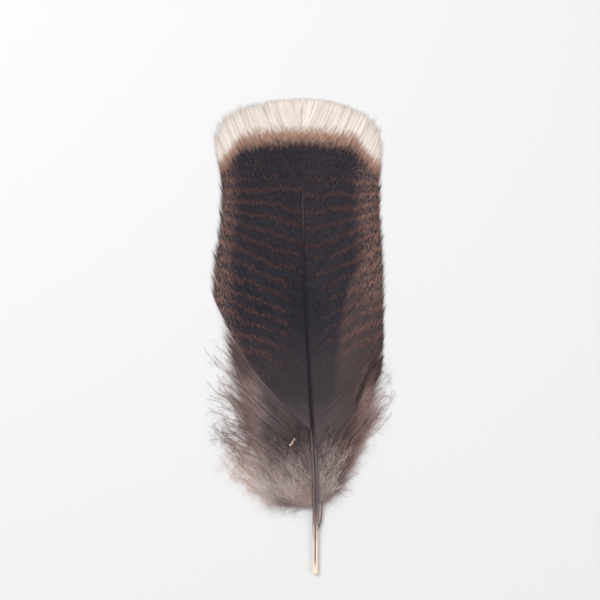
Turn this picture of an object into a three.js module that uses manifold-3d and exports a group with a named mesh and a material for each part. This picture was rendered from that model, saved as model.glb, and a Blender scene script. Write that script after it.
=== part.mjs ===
// A turkey tail feather, lying face up on a flat surface: quill, shaft, two vanes and the down at their foot.
// It grew in one piece, so it is one solid. Millimetres, +Z up, +Y from the quill to the tip.
// The origin is under the middle of the feather, on the surface that it lies on.
import * as THREE from "three";
import { mergeVertices } from "three/addons/utils/BufferGeometryUtils.js";
import Module from "manifold-3d";

// Driving dimensions.
const QUILL_END = -107; // y of the bare quill's end
const SHAFT_TIP = 103; // y where the shaft runs out, just inside the vane's tip
const VANE_FOOT = -50; // y on the shaft where the closed vanes start
const VANE_TOP = 100; // y on the shaft of the last barbs
const QUILL_RADIUS = 1.35;
const SHAFT_TIP_RADIUS = 0.4;
const QUILL_HEIGHT = 1.25; // height of the quill's middle line over the surface
const ARCH_HEIGHT = 6.2; // height of the shaft's middle line at the top of its arch
const TIP_HEIGHT = 0.9;
const ARCH_FROM = -15; // y where the arch has risen to its top
const ARCH_TO = 0; // y where the shaft starts to come down to the tip
const TIP_FALL_END = 121; // y where the fall would level out, past the tip
const VANE_THICK_ROOT = 0.75;
const VANE_THICK_EDGE = 0.5;
const VANE_CROWN = 1.7; // how late along a barb the vane falls to the surface
const LOCKS_A_SIDE = 24; // bundles of barbs in each vane
const LOCK_STEP = 0.28; // how far each bundle stands above the one that it overlaps
const LOCK_GAP = 0.1; // the step's width, as a share of a bundle
const FLAT_FROM = 0.9; // the share of a barb past which the vane lies flat on the surface
const VANE_ROWS = [0, 0.12, 0.28, 0.46, 0.64, 0.8, FLAT_FROM, 1]; // the sheet's rows, as shares of a barb
const BARB_ROOT_INSET = 0.3; // how deep a barb's root sits in the shaft
const BARB_BEND = { out: 0.62, up: 0.38 }; // where a barb's control point lies between its root and end
const BARB_SPREAD = { lower: 1.26, upper: 0.74 }; // how fast barb ends follow the edge in each half of a vane
const SHAFT_SIDES = 10;
const SHAFT_STATIONS = [
  -107, -106.6, -105.6, -98, -88, -77, -66, -54, -42, -30, -16, -2, 12, 26, 40, 54, 68, 82, 94, 103,
];
const QUILL_ROUNDING = [0.45, 0.82, 1]; // how the quill's blunt end narrows at its first stations
const LEFT = -1;
const RIGHT = 1;

// The shaft's middle line in plan, from the quill's end to the tip.
const shaftPlan = new THREE.SplineCurve(
  [
    [7.7, QUILL_END],
    [7.8, -86],
    [7.8, -62],
    [5.4, -23],
    [2.9, 23],
    [2.0, 70],
    [1.6, SHAFT_TIP],
  ].map(([x, y]) => new THREE.Vector2(x, y)),
);

// The edge of each vane, from its foot to the middle of the tip.
const RIGHT_EDGE = [
  [38.5, -4],
  [38.7, 16],
  [38.4, 34],
  [37.0, 54],
  [37.0, 70],
  [37.6, 84],
  [36.2, 92.5],
  [32.0, 98.8],
  [24.0, 103.4],
  [13.0, 106.3],
  [2.0, 107.1],
];
const LEFT_EDGE = [
  [-38.6, 10],
  [-38.4, 22],
  [-37.4, 36],
  [-35.3, 52],
  [-34.8, 70],
  [-37.2, 84],
  [-36.4, 92.5],
  [-32.0, 99.2],
  [-23.5, 103.6],
  [-11.0, 106.4],
  [2.0, 107.1],
];
const edges = new Map(
  [
    [RIGHT, RIGHT_EDGE],
    [LEFT, LEFT_EDGE],
  ].map(([side, points]) => [
    side,
    new THREE.SplineCurve(points.map(([x, y]) => new THREE.Vector2(x, y))),
  ]),
);

// The down: where each loose tuft leaves the shaft, and where it ends.
const RIGHT_TUFTS = [
  { root: -49, tip: [38.4, -6.5], width: 5.5 },
  { root: -52, tip: [38.9, -13.5], width: 5.5 },
  { root: -55.5, tip: [41.0, -20.5], width: 5 },
  { root: -59, tip: [44.1, -27], width: 4.5 },
  { root: -61.5, tip: [40.0, -33], width: 5 },
  { root: -64, tip: [37.5, -39], width: 5 },
  { root: -66.5, tip: [34.0, -45], width: 5 },
  { root: -68.5, tip: [30.0, -51], width: 4.5 },
  { root: -70.5, tip: [26.8, -57.5], width: 4.5 },
  { root: -72.5, tip: [22.6, -64], width: 4 },
  { root: -74.2, tip: [17.6, -69.5], width: 3.5 },
  { root: -75.6, tip: [13.2, -73.6], width: 2.5 },
];
const LEFT_TUFTS = [
  { root: -44, tip: [-38.4, 7], width: 6 },
  { root: -47, tip: [-38.0, 0], width: 6 },
  { root: -50, tip: [-38.6, -7], width: 6 },
  { root: -53, tip: [-40.4, -13.5], width: 6 },
  { root: -56, tip: [-41.8, -20.5], width: 6 },
  { root: -59, tip: [-41.0, -27.5], width: 5.5 },
  { root: -62, tip: [-44.1, -35], width: 5 },
  { root: -64.5, tip: [-37.0, -41], width: 5.5 },
  { root: -67, tip: [-35.0, -48], width: 5 },
  { root: -69.3, tip: [-33.0, -55], width: 5 },
  { root: -71.3, tip: [-30.5, -62], width: 5 },
  { root: -73, tip: [-27.5, -69], width: 4.5 },
  { root: -74.3, tip: [-22.5, -75], width: 4.5 },
  { root: -75.4, tip: [-14.5, -79], width: 4 },
  { root: -76.4, tip: [-5.0, -80.5], width: 3.5 },
];
const TUFT_THICK = 1.5;
const TUFT_END_THICK = 0.6;
const TUFT_LEAST_WIDTH = 0.7;
const TUFT_STEPS = 7;
const TUFT_SIDES = 4;
const TUFT_RISE = 1.6; // how far a tuft bulges above a straight line from root to tip
const TUFT_BEND = { out: 0.6, up: 0.4 };

// The aftershaft, a thin second stem that forks off the quill's underside.
const AFTERSHAFT = [
  [8.2, -88.5, 1.5],
  [10.2, -83, 1.5],
  [10.9, -74, 1.9],
  [11.0, -62, 2.2],
  [11.8, -48, 2.0],
];
const AFTERSHAFT_RADIUS = 0.45;
const AFTERSHAFT_TAPER = 0.45; // the share of its radius that it loses by its end
const AFTERSHAFT_STEPS = 10;
const AFTERSHAFT_SIDES = 6;
const MERGE_WITHIN = 1e-4; // points closer than this are one point
const SIMPLIFY_WITHIN = 0.02; // the joined skin may move this far where its faces are simplified

// The library of closed solids, for joining the parts of the feather.
const wasm = await Module();
wasm.setup();

// A smooth step from 0 to 1 between two places.
function ramp(from, to, at) {
  return THREE.MathUtils.smoothstep(at, from, to);
}

// Height of the shaft's middle line: the quill rests on the surface, the shaft arches and the tip comes down.
function shaftHeight(y) {
  const rise = (ARCH_HEIGHT - QUILL_HEIGHT) * ramp(QUILL_END, ARCH_FROM, y);
  const fall = (ARCH_HEIGHT - TIP_HEIGHT) * ramp(ARCH_TO, TIP_FALL_END, y);
  return QUILL_HEIGHT + rise - fall;
}

// Radius of the quill and shaft, which thin steadily past the quill towards the tip.
function shaftRadius(y) {
  const along = (y - QUILL_END) / (SHAFT_TIP - QUILL_END);
  return QUILL_RADIUS - (QUILL_RADIUS - SHAFT_TIP_RADIUS) * ramp(0.12, 0.95, along);
}

// The point of the shaft's middle line at a given y, found by halving the stretch that it lies in.
function shaftAt(y) {
  let low = 0;
  let high = 1;
  for (let i = 0; i < 30; i++) {
    const half = (low + high) / 2;
    const below = shaftPlan.getPoint(half).y < y;
    low = below ? half : low;
    high = below ? high : half;
  }
  return new THREE.Vector3(shaftPlan.getPoint(high).x, y, shaftHeight(y));
}

// A geometry from points and faces given as their numbers.
function geometryOf(points, faces) {
  const geometry = new THREE.BufferGeometry();
  const places = points.flatMap((p) => [p.x, p.y, p.z]);
  geometry.setAttribute("position", new THREE.Float32BufferAttribute(places, 3));
  geometry.setIndex(faces.flat());
  return geometry;
}

// A closed skin through rings of the same count, with both ends capped.
function loft(rings) {
  const count = rings[0].length;
  const faces = [];
  for (let r = 0; r + 1 < rings.length; r++) {
    for (let i = 0; i < count; i++) {
      const next = (i + 1) % count;
      const a = r * count + i;
      const b = r * count + next;
      faces.push([a, b, b + count], [a, b + count, a + count]);
    }
  }
  const last = (rings.length - 1) * count;
  for (let i = 1; i + 1 < count; i++) {
    faces.push([0, i + 1, i], [last, last + i, last + i + 1]);
  }
  return geometryOf(rings.flat(), faces);
}

// An upright ring of an oval section across a way, at a point.
function ring(centre, way, halfWidth, halfHeight, sides) {
  const across = new THREE.Vector3(way.y, -way.x, 0).normalize();
  const up = new THREE.Vector3().crossVectors(across, way).normalize();
  return Array.from({ length: sides }, (_, i) => {
    const turn = (-2 * Math.PI * i) / sides;
    return centre
      .clone()
      .addScaledVector(across, halfWidth * Math.cos(turn))
      .addScaledVector(up, halfHeight * Math.sin(turn));
  });
}

// The quill and shaft: a tapered round stem with a blunt, rounded quill end.
function shaft() {
  const rings = SHAFT_STATIONS.map((y, i) => {
    const here = shaftAt(y);
    const ahead = shaftAt(Math.min(y + 1, SHAFT_TIP));
    const behind = shaftAt(Math.max(y - 1, QUILL_END));
    const radius = shaftRadius(y) * (QUILL_ROUNDING[i] ?? 1);
    here.z = Math.max(here.z, shaftRadius(y));
    return ring(here, ahead.sub(behind).setZ(0).normalize(), radius, radius, SHAFT_SIDES);
  });
  return loft(rings);
}

// A point on the barb that leaves the shaft a share w of the way up the vane, a share t along the barb.
function barbPoint(side, w, t) {
  const root = shaftAt(THREE.MathUtils.lerp(VANE_FOOT, VANE_TOP, w));
  root.x -= side * BARB_ROOT_INSET;
  const lowerShare = Math.min(w, 0.5) * BARB_SPREAD.lower;
  const upperShare = Math.max(w - 0.5, 0) * BARB_SPREAD.upper;
  const end = edges.get(side).getPointAt(Math.min(lowerShare + upperShare, 1));
  const bendX = root.x + (end.x - root.x) * BARB_BEND.out;
  const bendY = root.y + (end.y - root.y) * BARB_BEND.up;
  const plan = new THREE.QuadraticBezierCurve(
    new THREE.Vector2(root.x, root.y),
    new THREE.Vector2(bendX, bendY),
    end,
  ).getPoint(t);
  return new THREE.Vector3(plan.x, plan.y, root.z * (1 - Math.pow(t, VANE_CROWN)));
}

// How far short of the edge the barbs beside a split end, which gives each bundle a pointed end.
function edgeCut(side, lock) {
  const wave = Math.sin(lock * 2.4 + side) * 0.5 + Math.sin(lock * 5.3 - side) * 0.5;
  return 0.02 + 0.016 * Math.abs(wave);
}

// One vane: overlapping bundles of barbs, as a single sheet with a step at each bundle.
function vane(side) {
  const columns = [];
  for (let lock = 0; lock < LOCKS_A_SIDE; lock++) {
    const cut = edgeCut(side, lock);
    columns.push({ w: lock / LOCKS_A_SIDE, lift: LOCK_STEP, reach: 1 - cut });
    columns.push({ w: (lock + 0.45) / LOCKS_A_SIDE, lift: LOCK_STEP * 0.6, reach: 1 });
    columns.push({ w: (lock + 1 - LOCK_GAP) / LOCKS_A_SIDE, lift: 0, reach: 1 - cut });
  }
  columns.push({ w: 1, lift: 0, reach: 1 });
  const points = [];
  for (const { w, lift, reach } of columns) {
    for (const t of VANE_ROWS) {
      const middle = barbPoint(side, w, t * reach);
      const thick = THREE.MathUtils.lerp(VANE_THICK_ROOT, VANE_THICK_EDGE, t);
      const under = t >= FLAT_FROM ? 0 : Math.max(0, middle.z - thick / 2);
      const over = Math.max(under + thick, middle.z + thick / 2) + lift * ramp(0, VANE_ROWS[1], t);
      points.push(new THREE.Vector3(middle.x, middle.y, over));
      points.push(new THREE.Vector3(middle.x, middle.y, under));
    }
  }
  const at = (column, row, below) => (column * VANE_ROWS.length + row) * 2 + below;
  const faces = [];
  const quad = (a, b, c, d) => {
    const outwards = side === RIGHT ? [a, b, c, a, c, d] : [a, c, b, a, d, c];
    faces.push(outwards);
  };
  const lastColumn = columns.length - 1;
  const lastRow = VANE_ROWS.length - 1;
  for (let c = 0; c < lastColumn; c++) {
    for (let r = 0; r < lastRow; r++) {
      quad(at(c, r, 0), at(c, r + 1, 0), at(c + 1, r + 1, 0), at(c + 1, r, 0));
      quad(at(c, r, 1), at(c + 1, r, 1), at(c + 1, r + 1, 1), at(c, r + 1, 1));
    }
    quad(at(c, 0, 0), at(c + 1, 0, 0), at(c + 1, 0, 1), at(c, 0, 1));
    quad(at(c, lastRow, 0), at(c, lastRow, 1), at(c + 1, lastRow, 1), at(c + 1, lastRow, 0));
  }
  for (let r = 0; r < lastRow; r++) {
    quad(at(0, r, 0), at(0, r, 1), at(0, r + 1, 1), at(0, r + 1, 0));
    quad(at(lastColumn, r, 0), at(lastColumn, r + 1, 0), at(lastColumn, r + 1, 1), at(lastColumn, r, 1));
  }
  return geometryOf(points, faces);
}

// One tuft of down: a flat, tapered lock that bulges up from the shaft and droops to the surface.
function tuft({ root, tip, width }) {
  const start = shaftAt(root);
  const end = new THREE.Vector3(tip[0], tip[1], TUFT_END_THICK / 2);
  const bend = new THREE.Vector3(
    start.x + (end.x - start.x) * TUFT_BEND.out,
    start.y + (end.y - start.y) * TUFT_BEND.up,
    (start.z + end.z) / 2 + TUFT_RISE,
  );
  const line = new THREE.QuadraticBezierCurve3(start, bend, end);
  const rings = [];
  for (let i = 0; i <= TUFT_STEPS; i++) {
    const t = i / TUFT_STEPS;
    const way = line.getTangent(t);
    const swell = Math.min(ramp(-0.35, 0.4, t), 1.15 - ramp(0.45, 1.04, t));
    const halfWidth = Math.max(TUFT_LEAST_WIDTH, width * Math.min(swell, 1)) / 2;
    const halfHeight = THREE.MathUtils.lerp(TUFT_THICK, TUFT_END_THICK, t) / 2;
    const centre = line.getPoint(t);
    centre.z = Math.max(centre.z, halfHeight);
    rings.push(ring(centre, way.setZ(0).normalize(), halfWidth, halfHeight, TUFT_SIDES));
  }
  return loft(rings);
}

// The thin second stem beside the shaft.
function aftershaft() {
  const line = new THREE.CatmullRomCurve3(AFTERSHAFT.map((p) => new THREE.Vector3(...p)));
  const rings = [];
  for (let i = 0; i <= AFTERSHAFT_STEPS; i++) {
    const t = i / AFTERSHAFT_STEPS;
    const way = line.getTangent(t).setZ(0).normalize();
    const radius = AFTERSHAFT_RADIUS * (1 - AFTERSHAFT_TAPER * t);
    rings.push(ring(line.getPoint(t), way, radius, radius, AFTERSHAFT_SIDES));
  }
  return loft(rings);
}

// A closed geometry as a solid that can be joined.
function solidOf(geometry) {
  const merged = mergeVertices(geometry, MERGE_WITHIN);
  return new wasm.Manifold(
    new wasm.Mesh({
      numProp: 3,
      vertProperties: merged.attributes.position.array,
      triVerts: new Uint32Array(merged.index.array),
    }),
  );
}

// All the parts of the feather, grown into one.
function grown() {
  const pieces = [shaft(), vane(LEFT), vane(RIGHT), aftershaft()];
  pieces.push(...[...RIGHT_TUFTS, ...LEFT_TUFTS].map(tuft));
  const whole = pieces.map(solidOf).reduce((sum, piece) => sum.add(piece));
  const { vertProperties, triVerts } = whole.simplify(SIMPLIFY_WITHIN).getMesh();
  const geometry = new THREE.BufferGeometry();
  geometry.setAttribute("position", new THREE.BufferAttribute(Float32Array.from(vertProperties), 3));
  geometry.setIndex([...triVerts]);
  return geometry;
}

const keratin = new THREE.MeshStandardMaterial({ color: 0x453c3e, roughness: 0.7, metalness: 0 });
const feather = new THREE.Mesh(grown(), keratin);
feather.name = "feather";

// The origin goes under the middle of the feather.
feather.geometry.computeBoundingBox();
const bounds = feather.geometry.boundingBox;
const middle = bounds.getCenter(new THREE.Vector3());
feather.geometry.translate(-middle.x, -middle.y, -bounds.min.z);

const part = new THREE.Group();
part.add(feather);
export default part;
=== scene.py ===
# A turkey tail feather, lying face up on a pale table.
# The script goes from the table up: the light and the view, the quill and shaft, the aftershaft, the two
# closed vanes, the down at their foot, the painted shadow along the right vane's edge and a fleck of husk
# caught in the down.
# Shapes are worked out in millimetres.
import math

import bpy
import numpy as np
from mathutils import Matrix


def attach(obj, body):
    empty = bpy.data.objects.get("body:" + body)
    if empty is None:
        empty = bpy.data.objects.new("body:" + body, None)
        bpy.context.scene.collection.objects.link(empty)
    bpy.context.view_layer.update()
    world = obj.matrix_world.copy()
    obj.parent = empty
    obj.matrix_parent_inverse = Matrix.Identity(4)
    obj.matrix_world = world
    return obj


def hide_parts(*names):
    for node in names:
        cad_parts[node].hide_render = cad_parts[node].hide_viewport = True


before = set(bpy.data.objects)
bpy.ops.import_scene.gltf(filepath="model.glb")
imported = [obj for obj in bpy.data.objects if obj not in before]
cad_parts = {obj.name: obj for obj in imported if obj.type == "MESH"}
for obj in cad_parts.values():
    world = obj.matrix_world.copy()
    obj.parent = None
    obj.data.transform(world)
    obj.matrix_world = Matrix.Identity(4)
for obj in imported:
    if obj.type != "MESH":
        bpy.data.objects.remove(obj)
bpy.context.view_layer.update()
MM = 0.001


# ---- The table, the light and the view ----
# The feather lies on a plain pale table under soft studio lamps: a broad one up to the left, and a weaker
# one on the right. The camera looks straight down, and takes in a square of the table.
VIEW_WIDTH = 270 * MM
VIEW_CENTRE = (0.9 * MM, 16.2 * MM)
LENS = 100
SENSOR = 36
TABLE_WIDTH = 4
TABLE_COLOUR = (0.68, 0.68, 0.68, 1)
TABLE_ROUGHNESS = 0.9
SKY_COLOUR = (1.0, 1.0, 1.0, 1)
SKY_STRENGTH = 0.62
LAMPS = {
    "key": {"at": (-0.5, 0.45, 0.9), "size": 0.7, "power": 9.0},
    "fill": {"at": (0.7, -0.3, 0.8), "size": 0.9, "power": 3.5},
}


def new_finish(name, roughness):
    """A material with its node tree and its shader."""
    finish = bpy.data.materials.new(name)
    finish.use_nodes = True
    shader = finish.node_tree.nodes["Principled BSDF"]
    shader.inputs["Roughness"].default_value = roughness
    return finish, finish.node_tree, shader


bpy.ops.object.select_all(action="DESELECT")
bpy.ops.object.camera_add(location=(*VIEW_CENTRE, VIEW_WIDTH * LENS / SENSOR), rotation=(0, 0, 0))
camera = bpy.context.object
camera.name = "camera"
camera.data.lens = LENS
camera.data.sensor_width = SENSOR
bpy.context.scene.camera = camera
bpy.context.scene.view_settings.view_transform = "Standard"

for lamp_name, lamp in LAMPS.items():
    far = math.hypot(lamp["at"][0], lamp["at"][1])
    tilt = math.atan2(far, lamp["at"][2])
    turn = math.atan2(lamp["at"][1], lamp["at"][0]) + math.pi / 2
    bpy.ops.object.light_add(type="AREA", location=lamp["at"], rotation=(tilt, 0, turn))
    light = bpy.context.object
    light.name = lamp_name
    light.data.shape = "DISK"
    light.data.size = lamp["size"]
    light.data.energy = lamp["power"]

studio = bpy.data.worlds.new("studio")
studio.use_nodes = True
studio.node_tree.nodes["Background"].inputs["Color"].default_value = SKY_COLOUR
studio.node_tree.nodes["Background"].inputs["Strength"].default_value = SKY_STRENGTH
bpy.context.scene.world = studio

bpy.ops.mesh.primitive_plane_add(size=TABLE_WIDTH)
table = bpy.context.object
table.name = "table"
table_paint, tree, shader = new_finish("table_paint", TABLE_ROUGHNESS)
shader.inputs["Base Color"].default_value = TABLE_COLOUR
table.data.materials.append(table_paint)


# ---- The quill and the shaft ----
# The quill is a hollow tube of clear horn that a bird's skin held, closed at its end but for a small pit.
# Where the vanes start it becomes the shaft, which is full of pith, dark and glossy, grooved below, and
# thins out to the tip.
QUILL_END = -107.0
SHAFT_TIP = 103.0
SHAFT_PLAN = [(7.7, -107), (7.8, -86), (7.8, -62), (5.4, -23), (2.9, 23), (2.0, 70), (1.6, 103)]
QUILL_HEIGHT = 1.25
QUILL_LIES_TO = -90
ARCH_HEIGHT = 6.2
ARCH_RISES_TO = -15
TIP_HEIGHT = 0.9
ARCH_FALLS = (0, 121)
QUILL_RADIUS = 1.35
SHAFT_TIP_RADIUS = 0.4
SHAFT_NARROWS = (0.12, 0.95)  # from and to, in shares of the length
SHAFT_SIDES = 24
GROOVE_FROM = -78.0
GROOVE_FULL_FROM = -48.0
GROOVE_HALF_WIDTH = 0.3  # in shaft radii, as the depth is
GROOVE_DEPTH = 0.45
PIT = [  # y and radius, from the floor of the pit out over its rim
    (-105.9, 0.1), (-106.5, 0.3), (-106.9, 0.42), (-107.0, 0.6),
    (-106.85, 0.95), (-106.4, 1.22), (-105.4, 1.33),
]
TIP = [(101.8, 0.3), (102.6, 0.2), (103, 0.08)]  # y and radius
HORN = {
    "end": (0.93, 0.79, 0.60, 1),
    "clear": (0.85, 0.73, 0.63, 1),
    "pith": (0.27, 0.155, 0.125, 1),
    "brown": (0.17, 0.12, 0.112, 1),
    "dark": (0.012, 0.009, 0.014, 1),
    # Bluish-grey patches on the lower shaft: partly paler horn, partly painted glints of reflected light.
    "clouded_and_glint": (0.098, 0.082, 0.092, 1),
    # Paler lines along the sides of the lower shaft: partly its horn, partly painted glints.
    "side": (0.19, 0.14, 0.135, 1),
    "fine": (0.016, 0.013, 0.019, 1),
    "tip": (0.085, 0.074, 0.080, 1),
    "cream": (0.55, 0.45, 0.38, 1),
    "grey": (0.55, 0.55, 0.55, 1),
    "white": (1, 1, 1, 1),
}
# Where each look of the horn comes in: from and to, and the shares there if they aren't 0 and 1.
HORN_STEPS = {
    "clear": (-106, -98),
    "pith": (0.14, 0.36, 1, 0),
    "pith_from": (-105.8, -100),
    "brown": (-92, -83, 0, 0.88),
    "fine_side": (-52, -20),
    "clouded_and_glint": (0.42, 0.56),
    "fine_heart": (0.0, 0.24, 0.75, 0),
    "dark": (-60, -36),
    "side": (0.46, 0.66),
    "tip": (38, 56),
    "cream": (86, 97),
    "shaft": (-84, -74),
    "under": (-0.35, 0.0, 0.75, 0),
    "gloss": (0.3, 0.75, 0.2, 0.42),
}
BORDERS_WANDER = 9.0
PITH_WANDERS = 0.5
STREAKS_SHOW = 0.5


def ease(low, high, at):
    """A smooth step from 0 to 1 as at goes from low to high."""
    t = np.clip((np.asarray(at, float) - low) / (high - low), 0, 1)
    return t * t * (3 - 2 * t)


def interpolated(at, knots, table):
    """The rows of a table at some places between its knots."""
    return np.stack([np.interp(at, knots, column) for column in np.transpose(table)], axis=-1)


def length_along(line):
    """How far each point of a line is from its start, along the line."""
    return np.concatenate([[0], np.cumsum(np.linalg.norm(np.diff(line, axis=0), axis=1))])


def line_through(points, count=800):
    """A smooth line through given points, as count places, with their shares of the length."""
    p = np.array([points[0], *points, points[-1]], float)
    spans = len(points) - 1
    at = np.linspace(0, spans, count)
    span = np.minimum(at.astype(int), spans - 1)
    t = (at - span)[:, None]
    before, start, end, after = (p[span + i] for i in range(4))
    rise, fall = (end - before) / 2, (after - start) / 2
    cubed = (2 * start - 2 * end + rise + fall) * t**3
    squared = (3 * end - 3 * start - 2 * rise - fall) * t**2
    places = cubed + squared + rise * t + start
    far = length_along(places)
    return places, far / far[-1]


shaft_line = line_through(SHAFT_PLAN)[0]


def shaft_x(y):
    return np.interp(y, shaft_line[:, 1], shaft_line[:, 0])


def shaft_z(y):
    rise = (ARCH_HEIGHT - QUILL_HEIGHT) * ease(QUILL_END, ARCH_RISES_TO, y)
    fall = (ARCH_HEIGHT - TIP_HEIGHT) * ease(*ARCH_FALLS, y)
    return QUILL_HEIGHT + rise - fall


def shaft_radius(y):
    along = (np.asarray(y, float) - QUILL_END) / (SHAFT_TIP - QUILL_END)
    return QUILL_RADIUS - (QUILL_RADIUS - SHAFT_TIP_RADIUS) * ease(*SHAFT_NARROWS, along)


def drawn_stem(name, middles, radii, sides):
    """A stem drawn out of a disc: extruded from each middle to the next, and narrowed to each radius."""
    bpy.ops.object.select_all(action="DESELECT")
    bpy.ops.mesh.primitive_circle_add(
        vertices=sides,
        radius=radii[0] * MM,
        fill_type="NGON",
        location=[c * MM for c in middles[0]],
        rotation=(math.pi / 2, 0, 0),
    )
    stem = bpy.context.object
    stem.name = name
    stem.data.name = name
    bpy.ops.object.mode_set(mode="EDIT")
    bpy.ops.mesh.select_all(action="SELECT")
    for here, there, before, after in zip(middles, middles[1:], radii, radii[1:]):
        step = [(b - a) * MM for a, b in zip(here, there)]
        bpy.ops.mesh.extrude_region_move(TRANSFORM_OT_translate={"value": step})
        bpy.ops.transform.resize(value=[after / before] * 3, center_override=[c * MM for c in there])
    bpy.ops.mesh.select_all(action="SELECT")
    bpy.ops.mesh.normals_make_consistent(inside=False)
    bpy.ops.object.mode_set(mode="OBJECT")
    bpy.ops.object.transform_apply(location=True, rotation=True, scale=True)
    bpy.ops.object.shade_smooth()
    return stem


def numbers_on(piece, name, values):
    """Keeps a number, or three, for each point of a piece, for its material to read."""
    kind, field = ("FLOAT", "value") if values.ndim == 1 else ("FLOAT_VECTOR", "vector")
    attribute = piece.data.attributes.new(name, kind, "POINT")
    attribute.data.foreach_set(field, np.ascontiguousarray(values, np.float32).ravel())


def points_of(piece):
    """The places of a piece's points, in millimetres."""
    places = np.zeros(len(piece.data.vertices) * 3)
    piece.data.vertices.foreach_get("co", places)
    return places.reshape(-1, 3) / MM


def middle_at(line, y):
    """The x and z of a stem's middle line at some y."""
    return interpolated(y, line[:, 1], line[:, [0, 2]])


def unrolled(piece, sides, line, low, high):
    """Unrolls a stem into its own map, round it and along it, with the end discs in a corner."""
    rim, strip_width, strip_height = 0.01, 0.98, 0.95
    disc_u, disc_v, disc_spacing, disc_radius = 0.02, 0.985, 0.03, 0.01
    places = points_of(piece)
    middle = middle_at(line, places[:, 1])
    turn = np.arctan2(places[:, 2] - middle[:, 1], places[:, 0] - middle[:, 0]) / (2 * math.pi)
    slot = np.round(turn * sides).astype(int) % sides
    layer = piece.data.uv_layers.new(name="OFBake")
    for face in piece.data.polygons:
        corners = list(face.vertices)
        if len(corners) > 4:
            for i, loop in enumerate(face.loop_indices):
                angle = 2 * math.pi * i / len(corners)
                u, v = disc_u + disc_radius * math.cos(angle), disc_v + disc_radius * math.sin(angle)
                layer.data[loop].uv = (u, v)
            disc_u += disc_spacing
            continue
        wraps = max(slot[corners]) - min(slot[corners]) > sides / 2
        for corner, loop in zip(corners, face.loop_indices):
            around = slot[corner] + (sides if wraps and slot[corner] < sides / 2 else 0)
            share = (places[corner, 1] - low) / (high - low)
            layer.data[loop].uv = (rim + strip_width * around / sides, rim + strip_height * share)


# From here on, tree is the node tree of the material in the making, which new_finish gives.
def plug(socket, value):
    """Sets a socket to a value, or links it to another node's output."""
    if isinstance(value, bpy.types.NodeSocket):
        tree.links.new(value, socket)
    else:
        socket.default_value = value


def read(name, output="Fac"):
    """The numbers kept on a piece under a name."""
    node = tree.nodes.new("ShaderNodeAttribute")
    node.attribute_name = name
    return node.outputs[output]


def maths(operation, *values):
    node = tree.nodes.new("ShaderNodeMath")
    node.operation = operation
    for socket, value in zip(node.inputs, values):
        plug(socket, value)
    return node.outputs[0]


def plus(first, second):
    return maths("ADD", first, second)


def times(first, second):
    return maths("MULTIPLY", first, second)


def about_zero(value, height):
    """A pattern moved to lie about zero, and scaled."""
    return times(maths("SUBTRACT", value, 0.5), height)


def mixed(share, first, second, way="MIX"):
    """Two colours mixed by a share."""
    node = tree.nodes.new("ShaderNodeMix")
    node.data_type = "RGBA"
    node.blend_type = way
    for socket, value in zip((node.inputs[0], node.inputs[6], node.inputs[7]), (share, first, second)):
        plug(socket, value)
    return node.outputs[2]


def between(value, low, high, first=0.0, second=1.0):
    """A smooth step from first to second as value goes from low to high."""
    node = tree.nodes.new("ShaderNodeMapRange")
    node.interpolation_type = "SMOOTHSTEP"
    for i, number in enumerate((value, low, high, first, second)):
        plug(node.inputs[i], number)
    return node.outputs[0]


def mottle(places, scale, detail=2.0, stretch=(1, 1, 1), roughness=0.5):
    """A soft random pattern from 0 to 1 over places, stretched along its axes."""
    spread = tree.nodes.new("ShaderNodeMapping")
    plug(spread.inputs["Vector"], places)
    spread.inputs["Scale"].default_value = stretch
    noise = tree.nodes.new("ShaderNodeTexNoise")
    plug(noise.inputs["Vector"], spread.outputs[0])
    noise.inputs["Scale"].default_value = scale
    noise.inputs["Detail"].default_value = detail
    noise.inputs["Roughness"].default_value = roughness
    return noise.outputs[0]


def object_places():
    return tree.nodes.new("ShaderNodeTexCoord").outputs["Object"]


body_stations = [*np.linspace(-104, -80, 9), *np.linspace(-76, 97, 58), 100]
stations = [y for y, _ in PIT] + body_stations + [y for y, _ in TIP]
radii = [r for _, r in PIT] + [float(shaft_radius(y)) for y in body_stations] + [r for _, r in TIP]
heights = [max(float(shaft_z(y)), QUILL_RADIUS if y < QUILL_LIES_TO else 0) for y in stations]
middles = [(float(shaft_x(y)), float(y), z) for y, z in zip(stations, heights)]
shaft = drawn_stem("shaft", middles, radii, SHAFT_SIDES)
stem_middle = np.array(middles[len(PIT) - 1:])
unrolled(shaft, SHAFT_SIDES, stem_middle, QUILL_END, SHAFT_TIP)
places = points_of(shaft)
offset = places[:, [0, 2]] - middle_at(stem_middle, places[:, 1])
radius_here = np.maximum(shaft_radius(places[:, 1]), 0.1)
across = offset[:, 0] / radius_here
upward = offset[:, 1] / radius_here
groove = ease(GROOVE_FROM, GROOVE_FULL_FROM, places[:, 1]) * (upward < 0)
groove *= np.exp(-((across / GROOVE_HALF_WIDTH) ** 2))
places[:, 2] += GROOVE_DEPTH * radius_here * groove
shaft.data.vertices.foreach_set("co", (places * MM).ravel())
numbers_on(shaft, "across", across)
numbers_on(shaft, "upward", upward)
numbers_on(shaft, "height", places[:, 1])

horn, tree, shader = new_finish("horn", 0.28)


def horn_step(value, look):
    return between(value, *HORN_STEPS[look])


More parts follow.
